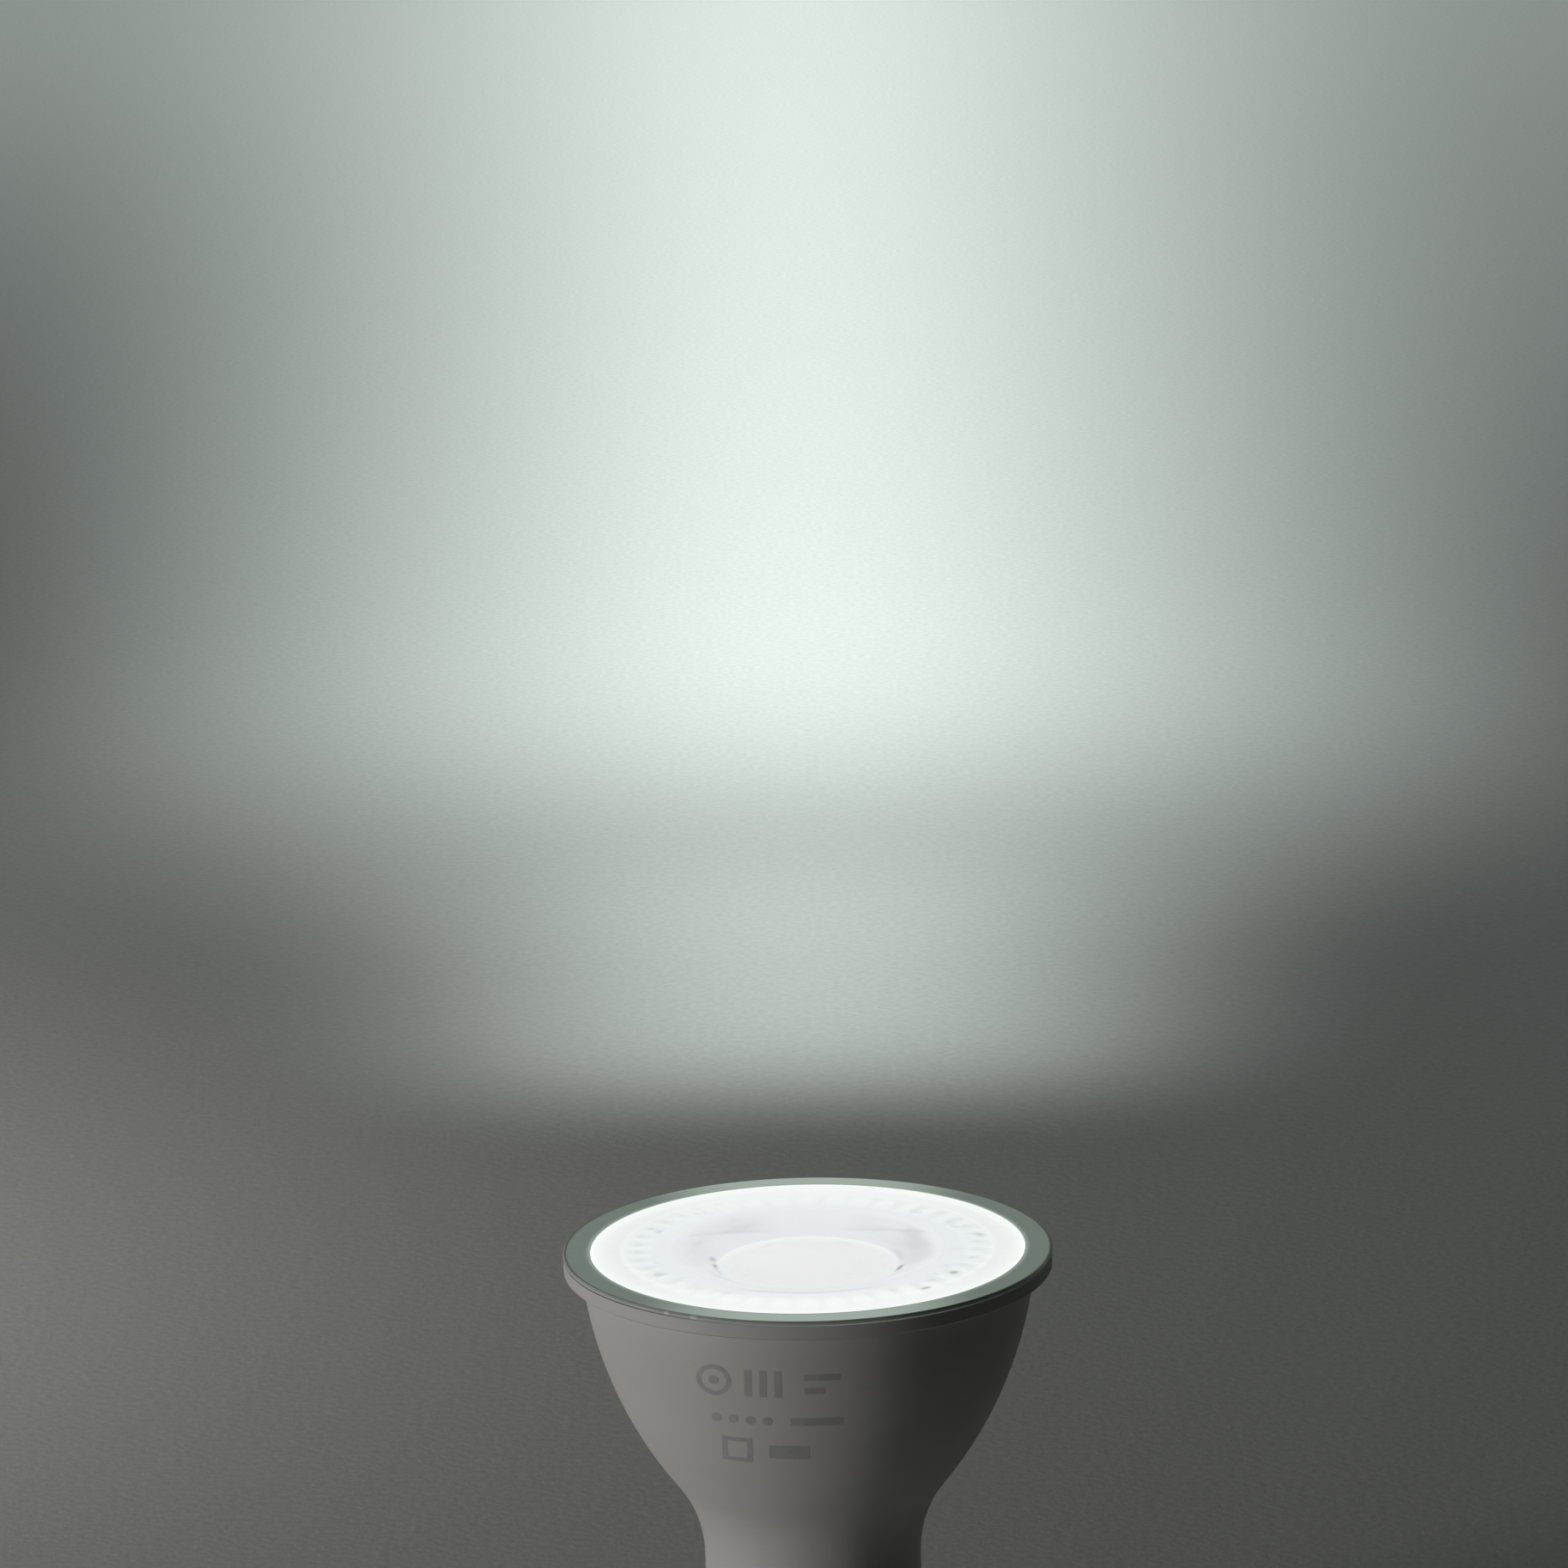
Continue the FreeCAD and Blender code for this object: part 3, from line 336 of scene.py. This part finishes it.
def bezel_colour(tree, place, radius, way):
    """Output with the bezel's white, with a painted shade line where its edge creases, and the
    pale chips.
    """
    cloud = noise(tree, place, 4 * MM, detail=4.0)
    tint = mix_colours(tree, ramp_between(tree, cloud, 0.0, 1.0, 0.3, 0.7),
                       rgb(0.60, 0.61, 0.58), rgb(0.66, 0.665, 0.635))
    # Painted shade: a thin dark ring where the face creases into the edge
    painted_crease_shade = times(tree, band(tree, radius, BEZEL_LIP - 0.05, 0.14), 0.45)
    white_with_painted_shade = mix_colours(tree, painted_crease_shade, tint, rgb(0.10, 0.11, 0.10))
    chips = math_node(tree, "ADD", *(
        ramp_between(tree, towards(tree, way, degrees), 0.0, 1.0,
                     math.cos(math.radians(half_angle)), 1.0)
        for degrees, half_angle in BEZEL_CHIPS))
    on_lip = ramp_between(tree, radius, 0.0, 1.0, BEZEL_LIP + 0.05, BEZEL_LIP + 0.15)
    return mix_colours(tree, times(tree, chips, on_lip), white_with_painted_shade, rgb(0.95, 0.94, 0.88))


def bezel_painted_glow(tree, radius, way):
    """Output with the painted glow of the bezel, brighter near and far than at the sides."""
    # Painted glow: most beside the lens, more near and far than at the sides, almost none on the
    # edge
    near_lens = ramp_between(tree, radius, 1.0, 0.0, BEZEL_WINDOW, BEZEL_WINDOW + 0.6)
    on_annulus = ramp_between(tree, radius, 1.0, 0.0, BEZEL_LIP - 0.15, BEZEL_LIP + 0.05)
    ahead = ramp_between(tree, math_node(tree, "ABSOLUTE", towards(tree, way, 90)),
                         0.0, 1.0, 0.69, 1.0)
    on_face = mix_colours(tree, ahead, BEZEL_LIGHT_SIDES, BEZEL_LIGHT_AHEAD)
    painted_glow_inside_lip = mix_colours(tree, on_annulus, BEZEL_LIGHT_EDGE, on_face)
    return mix_colours(tree, near_lens, painted_glow_inside_lip, BEZEL_LIGHT_WINDOW)


def bezel_material():
    """Translucent white plastic, with the lens's greenish light in it painted on as a glow."""
    material, tree, shader = new_material("bezel_plastic")
    place = object_place(tree)
    radius, way = polar_place(tree, place)
    grain = noise(tree, place, 0.10 * MM, detail=2.0)
    tree.links.new(bezel_colour(tree, place, radius, way), shader.inputs["Base Color"])
    # Painted glow: the bezel's light is given as emission
    tree.links.new(bezel_painted_glow(tree, radius, way), shader.inputs["Emission Color"])
    shader.inputs["Emission Strength"].default_value = 1.0
    tree.links.new(ramp_between(tree, grain, 0.36, 0.48, 0.3, 0.7), shader.inputs["Roughness"])
    tree.links.new(bump(tree, grain, 0.004 * MM, 0.6), shader.inputs["Normal"])
    return material


def pin_material():
    """Nickel-plated turned metal with fine rings from the lathe."""
    material, tree, shader = new_material("pin_metal")
    place = object_place(tree)
    stretched = add_node(tree, "ShaderNodeMapping", {"Vector": place, "Scale": (1, 1, 14)})
    rings = noise(tree, stretched.outputs["Vector"], 0.9 * MM, detail=3.0)
    stains = noise(tree, place, 1.4 * MM, detail=5.0)
    tint = mix_colours(tree, ramp_between(tree, stains, 0.0, 1.0, 0.4, 0.7),
                       rgb(0.60, 0.585, 0.55), rgb(0.47, 0.45, 0.415))
    tree.links.new(tint, shader.inputs["Base Color"])
    tree.links.new(ramp_between(tree, rings, 0.20, 0.38, 0.3, 0.7), shader.inputs["Roughness"])
    tree.links.new(bump(tree, rings, 0.008 * MM, 0.7), shader.inputs["Normal"])
    shader.inputs["Metallic"].default_value = 1.0
    return material


def lens_light(tree, radius):
    """Output with the light of the lens from the middle out: dome, well, prisms, rim."""
    ramp = add_node(tree, "ShaderNodeValToRGB", {"Fac": times(tree, radius, 1 / LENS_REACH)})
    stops = ramp.color_ramp.elements
    stops.remove(stops[1])
    for index, (reach, light) in enumerate(LENS_RINGS):
        stop = stops[0] if index == 0 else stops.new(reach / LENS_REACH)
        stop.position = reach / LENS_REACH
        stop.color = light + (1.0,)
    return ramp.outputs["Color"]


def prism_shadow(tree, radius, way, side):
    """Output with the dark flanks of the prisms, which fade near and far in the glare."""
    turn = math_node(tree, "ARCTAN2", towards(tree, way, 90), towards(tree, way, 0))
    wave = math_node(tree, "COSINE", math_node(
        tree, "MULTIPLY_ADD", turn, PRISM_COUNT, -math.radians(PRISM_PHASE) * PRISM_COUNT))
    return times(tree, ramp_between(tree, wave, 0.0, 1.0, -0.1, 0.75),
                 band(tree, radius, *PRISM_RING),
                 ramp_between(tree, side, 0.015, 0.13, 0.3, 0.9))


def stray_shadows(tree, place, radius, way, side):
    """Outputs with the uneven shadows: blots at the prisms, and swirls in the well."""
    blobs = noise(tree, place, 1.3 * MM, 1.0)
    blots = times(tree, ramp_between(tree, blobs, 0.0, 1.0, 0.6, 0.75),
                  band(tree, radius, *BLOT_RING), ramp_between(tree, side, 0.03, 0.14, 0.2, 0.7))
    drawn = streaks(tree, radius, way, 14.0, 0.7)
    swirls = times(tree, ramp_between(tree, drawn, 0.0, 1.0, 0.42, 0.75),
                   band(tree, radius, *SWIRL_RING), ramp_between(tree, side, 0.03, 0.12, 0.1, 0.9))
    return blots, swirls


def lens_shadow(tree, place, radius, way):
    """Output with how much the moulded details darken the lens, 0 where it is clear."""
    side = math_node(tree, "ABSOLUTE", towards(tree, way, 0))
    speckles = noise(tree, place, 0.45 * MM, 2.0)
    grain = times(tree, ramp_between(tree, speckles, 0.0, 0.06, 0.45, 0.7),
                  band(tree, radius, *GRAIN_RING))
    total = math_node(tree, "ADD", fold_shadow(tree, place, radius, side), grain)
    total = math_node(tree, "ADD", total, prism_shadow(tree, radius, way, side))
    for shadow in stray_shadows(tree, place, radius, way, side):
        total = math_node(tree, "ADD", total, shadow)
    for degrees, reach, spread, width, depth in LENS_MARKS:
        near = ramp_between(tree, towards(tree, way, degrees), 0.0, depth,
                            math.cos(math.radians(spread)), 1.0)
        mark = times(tree, near, band(tree, radius, reach, width))
        total = math_node(tree, "ADD", total, mark)
    return total


def fold_shadow(tree, place, radius, side):
    """Output with the dark line and patch where the well's far wall shows the cone's edge."""
    centre = (0.0, FOLD_CENTRE * MM, 0.0)
    moved = add_node(tree, "ShaderNodeVectorMath", {0: place, 1: centre}, operation="SUBTRACT")
    reach, _ = polar_place(tree, moved.outputs["Vector"])
    off_middle = ramp_between(tree, side, 0.0, 1.0, 0.25, 0.55)
    in_well = ramp_between(tree, radius, 1.0, 0.0, 12.9, 13.7)
    off_dome = ramp_between(tree, radius, 0.0, 1.0, 9.3, 10.0)
    line = times(tree, band(tree, reach, FOLD_REACH, 0.45), 0.11)
    patch = ramp_between(tree, reach, 0.0, 0.05, FOLD_REACH, FOLD_REACH + 0.5)
    return times(tree, math_node(tree, "ADD", line, patch), off_middle, in_well, off_dome)


def lens_material():
    """Clear moulded plastic full of light from the light source, frosted on dome and well."""
    material, tree, shader = new_material("clear_lens")
    place = object_place(tree)
    radius, way = polar_place(tree, place)
    height = add_node(tree, "ShaderNodeSeparateXYZ", {"Vector": place}).outputs["Z"]
    outer = ramp_between(tree, radius, 0.0, 1.0, 14.0, 19.0)
    ahead = ramp_between(tree, math_node(tree, "ABSOLUTE", towards(tree, way, 90)),
                         0.0, 0.55, 0.4, 1.0)
    light = mix_colours(tree, times(tree, outer, ahead), lens_light(tree, radius),
                        rgb(0.91, 0.925, 0.925))
    dark = mix_colours(tree, lens_shadow(tree, place, radius, way), light, rgb(0.0, 0.035, 0.03))
    on_top = ramp_between(tree, height, 0.0, 1.0, LENS_LIT_FROM, LENS_LIT_TO)
    seen = mix_colours(tree, on_top, rgb(0.0, 0.0, 0.0), dark)
    tree.links.new(seen, shader.inputs["Emission Color"])
    shader.inputs["Emission Strength"].default_value = LENS_STRENGTH
    grain = noise(tree, place, 0.22 * MM, detail=2.0)
    tree.links.new(ramp_between(tree, radius, 0.55, 0.22, 12.5, 15.0), shader.inputs["Roughness"])
    tree.links.new(bump(tree, grain, 0.005 * MM, 0.5), shader.inputs["Normal"])
    tint = mix_colours(tree, noise(tree, place, 4 * MM), rgb(0.36, 0.39, 0.375),
                       rgb(0.42, 0.445, 0.43))
    tree.links.new(tint, shader.inputs["Base Color"])
    shader.inputs["IOR"].default_value = 1.49
    shader.inputs["Transmission Weight"].default_value = 0.12
    shader.inputs["Specular IOR Level"].default_value = 0.2
    shader.inputs["Coat Weight"].default_value = 0.04
    shader.inputs["Coat Roughness"].default_value = 0.04
    return material


def lit_material(name, colour, strength, grain, change):
    """White surface inside the lamp, its light from the light source painted on as a glow of its
    own.
    """
    material, tree, shader = new_material(name)
    place = object_place(tree)
    cloud = noise(tree, place, grain, detail=4.0)
    tint = mix_colours(tree, ramp_between(tree, cloud, 0.0, 1.0, 0.35, 0.7),
                       colour, shade(colour, 1 - change))
    tree.links.new(tint, shader.inputs["Base Color"])
    # Painted glow: the surface's colour given again as emission
    tree.links.new(tint, shader.inputs["Emission Color"])
    shader.inputs["Emission Strength"].default_value = strength
    shader.inputs["Roughness"].default_value = 0.5
    return material


MATERIALS = {
    "housing_plastic": housing_material(),
    "bezel_plastic": bezel_material(),
    "clear_lens": lens_material(),
    "pin_metal": pin_material(),
    "sink_aluminium": lit_material("sink_aluminium", rgb(0.93, 0.98, 0.95), 0.8, 3 * MM, 0.2),
    "thermal_rubber": surface_material("thermal_rubber", rgb(0.30, 0.32, 0.35), 0.2 * MM, 0.7),
    "metal_core_board": lit_material("metal_core_board", rgb(0.95, 1.0, 0.97), 0.95, 2 * MM, 0.2),
    "emitter_base": lit_material("emitter_base", rgb(1.0, 1.0, 0.98), 1.2, 1 * MM, 0.1),
    "phosphor": lit_material("phosphor", rgb(1.0, 0.99, 0.95), 1.8, 0.3 * MM, 0.1),
    "screw_steel": surface_material("screw_steel", rgb(0.45, 0.45, 0.45), 0.1 * MM, 0.35, 1.0),
    "board_laminate": surface_material("board_laminate", rgb(0.03, 0.16, 0.05), 0.3 * MM, 0.4,
                                       coat=0.4),
    "capacitor_can": surface_material("capacitor_can", rgb(0.03, 0.035, 0.05), 0.3 * MM, 0.35,
                                      coat=0.5),
    "ferrite": surface_material("ferrite", rgb(0.035, 0.035, 0.04), 0.15 * MM, 0.6),
    "copper_winding": surface_material("copper_winding", rgb(0.55, 0.22, 0.08), 0.12 * MM, 0.35,
                                       1.0),
    "taped_winding": surface_material("taped_winding", rgb(0.75, 0.55, 0.08), 0.4 * MM, 0.4,
                                      coat=0.5),
    "package_black": surface_material("package_black", rgb(0.02, 0.02, 0.022), 0.1 * MM, 0.5),
    "resistor_coat": surface_material("resistor_coat", rgb(0.12, 0.25, 0.14), 0.15 * MM, 0.5),
    "chip_ceramic": surface_material("chip_ceramic", rgb(0.03, 0.03, 0.032), 0.08 * MM, 0.4),
    "lead_red": surface_material("lead_red", rgb(0.40, 0.015, 0.01), 0.1 * MM, 0.45),
    "lead_white": surface_material("lead_white", rgb(0.70, 0.70, 0.67), 0.1 * MM, 0.45),
}


def dress_nodes():
    """Give every node of the frame the material of its slot, and smooth faces."""
    slots = {entry["node"]: entry["material_slot"] for entry in frame["record"]["subparts"]}
    for node_name, node in NODES.items():
        node.data.materials.clear()
        node.data.materials.append(MATERIALS[slots[node_name]])
        node.data.shade_smooth()
        node.data.set_sharp_from_angle(angle=SHARP_ANGLE)


# Printed marks: generic bars, dots, a ring and a square that follow the bowl's surface

def bowl_surface():
    """Search tree of the housing's faces."""
    return BVHTree.FromObject(NODES["housing"], bpy.context.evaluated_depsgraph_get())


def on_bowl(surface, across, height):
    """Point just outside the bowl: across along X as seen from the front, at a height."""
    start = Vector((across, -PRINT_RAY_START, height))
    place, normal, _, _ = surface.ray_cast(start, Vector((0, 1, 0)))
    return place + normal * PRINT_LIFT


def add_patch(mesh, surface, across, height, width, tall):
    """Rectangle of small cells laid on the bowl."""
    columns = max(1, round(width / PRINT_CELL))
    rows = max(1, round(tall / PRINT_CELL))
    grid = []
    for row in range(rows + 1):
        level = height + tall * (row / rows - 0.5)
        grid.append([
            mesh.verts.new(on_bowl(surface, across + width * (column / columns - 0.5), level))
            for column in range(columns + 1)])
    for row in range(rows):
        for column in range(columns):
            mesh.faces.new((grid[row][column], grid[row][column + 1],
                            grid[row + 1][column + 1], grid[row + 1][column]))


def add_ring(mesh, surface, across, height, inner, outer):
    """Flat ring laid on the bowl; an inner radius of nothing makes a disc."""
    rings = max(1, round((outer - inner) / PRINT_CELL))
    radii = [inner + (outer - inner) * index / rings for index in range(rings + 1)]
    circles = []
    for radius in radii:
        if radius == 0:
            circles.append([mesh.verts.new(on_bowl(surface, across, height))] * RING_STEPS)
            continue
        turns = [math.tau * step / RING_STEPS for step in range(RING_STEPS)]
        circles.append([
            mesh.verts.new(on_bowl(surface, across + radius * math.cos(turn),
                                   height + radius * math.sin(turn)))
            for turn in turns])
    for near, far in zip(circles, circles[1:]):
        for step in range(RING_STEPS):
            following = (step + 1) % RING_STEPS
            corners = [near[step], far[step], far[following], near[following]]
            mesh.faces.new(list(dict.fromkeys(corners)))


def add_square(mesh, surface, across, height, side, line):
    """Outline of a square laid on the bowl."""
    for sign in (-1, 1):
        offset = sign * (side - line) / 2
        add_patch(mesh, surface, across, height + offset, side, line)
        add_patch(mesh, surface, across + offset, height, line, side - 2 * line)


def print_shapes():
    """Mesh of the printed shapes, three rows of them."""
    surface = bowl_surface()
    mesh = bmesh.new()
    add_ring(mesh, surface, -9.6 * MM, TOP_ROW, 1.25 * MM, 1.75 * MM)
    add_ring(mesh, surface, -9.6 * MM, TOP_ROW, 0.0, DOT_RADIUS)
    for index in range(3):
        add_patch(mesh, surface, (-6.2 + 1.5 * index) * MM, TOP_ROW, BAR_WIDTH, 3.0 * MM)
    add_patch(mesh, surface, 1.2 * MM, 41.4 * MM, 3.6 * MM, BAR_WIDTH)
    add_patch(mesh, surface, 0.4 * MM, 39.9 * MM, 2.0 * MM, BAR_WIDTH)
    for index in range(4):
        add_ring(mesh, surface, (-9.4 + 1.7 * index) * MM, MIDDLE_ROW, 0.0, DOT_RADIUS)
    add_patch(mesh, surface, 0.6 * MM, MIDDLE_ROW, 5.2 * MM, 0.9 * MM)
    add_square(mesh, surface, -7.4 * MM, LOW_ROW, 3.0 * MM, 0.5 * MM)
    add_patch(mesh, surface, -2.2 * MM, LOW_ROW, 4.0 * MM, 1.6 * MM)
    data = bpy.data.meshes.new("print_marks")
    mesh.to_mesh(data)
    mesh.free()
    data.shade_smooth()
    return data


def build_print():
    """The printed marks as one piece that rides on the lamp."""
    marks = bpy.data.objects.new("print_marks", print_shapes())
    bpy.context.scene.collection.objects.link(marks)
    marks.data.materials.append(
        surface_material("print_ink", rgb(0.53, 0.53, 0.54), 0.12 * MM, 0.5, change=0.08))
    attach(marks, "root")


# Stage: pale floor, soft light and the camera of the photograph

def floor_material():
    """Pale card with a fine grain."""
    material, tree, shader = new_material("floor_card")
    place = object_place(tree)
    grain = noise(tree, place, 1.1 * MM, detail=3.0)
    tint = mix_colours(tree, ramp_between(tree, grain, 0.0, 1.0, 0.3, 0.7),
                       rgb(0.67, 0.66, 0.645), rgb(0.74, 0.73, 0.715))
    tree.links.new(tint, shader.inputs["Base Color"])
    tree.links.new(bump(tree, grain, 0.15 * MM, 0.5), shader.inputs["Normal"])
    shader.inputs["Roughness"].default_value = 0.8
    return material


def build_floor():
    """Plain floor just under the pins."""
    bpy.ops.mesh.primitive_plane_add(size=FLOOR_SIDE, location=(0, 0, PINS_LOW.z - FLOOR_GAP))
    floor = bpy.context.object
    floor.name = "floor"
    floor.data.materials.append(floor_material())


def add_light(name, size, power, colour, place, aim, spread=180):
    """Soft square light at a place, turned to the aim; its spread is in degrees."""
    data = bpy.data.lights.new(name, "AREA")
    data.shape = "SQUARE"
    data.size = size
    data.spread = math.radians(spread)
    data.energy = power
    data.color = colour
    light = bpy.data.objects.new(name, data)
    light.location = place
    light.rotation_mode = "QUATERNION"
    light.rotation_quaternion = (Vector(aim) - Vector(place)).to_track_quat("-Z", "Y")
    bpy.context.scene.collection.objects.link(light)


def add_strip(name, near, far, width, spread, power):
    """Long strip of light low over the floor from near to far, unseen by the camera."""
    near, far = Vector(near), Vector(far)
    data = bpy.data.lights.new(name, "AREA")
    data.shape = "RECTANGLE"
    data.size = width
    data.size_y = (far - near).length
    data.spread = math.radians(spread)
    data.energy = power
    data.color = COOL_WHITE
    light = bpy.data.objects.new(name, data)
    light.location = (near + far) / 2
    light.rotation_euler = (math.atan2(far.z - near.z, far.y - near.y), 0.0, 0.0)
    light.visible_camera = False
    bpy.context.scene.collection.objects.link(light)


def build_lights():
    """Light from the left on the lamp, and the pool of its own light on the floor behind it."""
    middle = (0, 0, 25 * MM)
    add_light("key", 0.14, 0.665, WARM_WHITE, (-0.46, -0.26, 0.078), middle)
    add_light("side", 0.14, 0.215, WARM_WHITE, (-0.55, 0.0, 0.078), middle)
    add_light("left", 0.16, 0.023, WARM_WHITE, (-0.27, 0.14, 0.16), (-0.17, 0.14, 0.0), 80)
    add_light("left_far", 0.2, 0.073, WARM_WHITE, (-0.30, 0.26, 0.18), (-0.22, 0.26, 0.0), 140)
    add_light("right", 0.3, 0.45, COOL_WHITE, (0.55, 0.85, 0.35), (0.45, 0.85, 0.0))
    add_light("far", 0.7, 1.7, COOL_WHITE, (0.0, 1.75, 0.8), (0.0, 1.75, 0.0))
    add_light("far_left", 0.5, 2.0, COOL_WHITE, (-0.75, 1.5, 0.7), (-0.6, 1.6, 0.0))
    add_light("far_right", 0.5, 1.7, COOL_WHITE, (0.75, 1.5, 0.7), (0.6, 1.6, 0.0))
    add_strip("glow", (0.0, 0.40, 0.18), (0.0, 1.95, 0.36), 0.05, 78, 0.93)
    add_strip("glow_edge", (0.0, 0.238, 0.06), (0.0, 0.36, 0.10), 0.08, 70, 0.024)


def build_world():
    """Faint even light from all round, and colours shown as they are."""
    world = bpy.data.worlds.new("studio")
    world.use_nodes = True
    background = world.node_tree.nodes["Background"]
    background.inputs["Color"].default_value = WORLD_COLOUR
    background.inputs["Strength"].default_value = WORLD_STRENGTH
    bpy.context.scene.world = world
    bpy.context.scene.view_settings.view_transform = "Standard"


def build_camera():
    """Camera that sees the middle of the lens where the photograph shows it."""
    data = bpy.data.cameras.new("camera")
    focal_pixels = PIXELS_PER_MM * CAMERA_DISTANCE / MM
    data.sensor_width = SENSOR
    data.lens = focal_pixels / PHOTO_SIDE * SENSOR
    data.clip_start = CLIP_START
    data.clip_end = CLIP_END
    camera = bpy.data.objects.new("camera", data)
    bpy.context.scene.collection.objects.link(camera)
    elevation = math.radians(VIEW_ELEVATION)
    ahead = Vector((0, math.cos(elevation), -math.sin(elevation)))
    right = (LENS_CENTRE_PIXEL[0] - PHOTO_SIDE / 2) / focal_pixels
    down = (LENS_CENTRE_PIXEL[1] - PHOTO_SIDE / 2) / focal_pixels
    off_axis = Vector((right, -down, -1)).rotation_difference(Vector((0, 0, -1)))
    roll = Quaternion(ahead, math.radians(VIEW_ROLL))
    camera.rotation_mode = "QUATERNION"
    camera.rotation_quaternion = roll @ ahead.to_track_quat("-Z", "Y") @ off_axis
    camera.location = Vector((0, 0, LENS_PLANE)) - ahead * CAMERA_DISTANCE
    bpy.context.scene.camera = camera


dress_nodes()
build_print()
build_floor()
build_lights()
build_world()
build_camera()
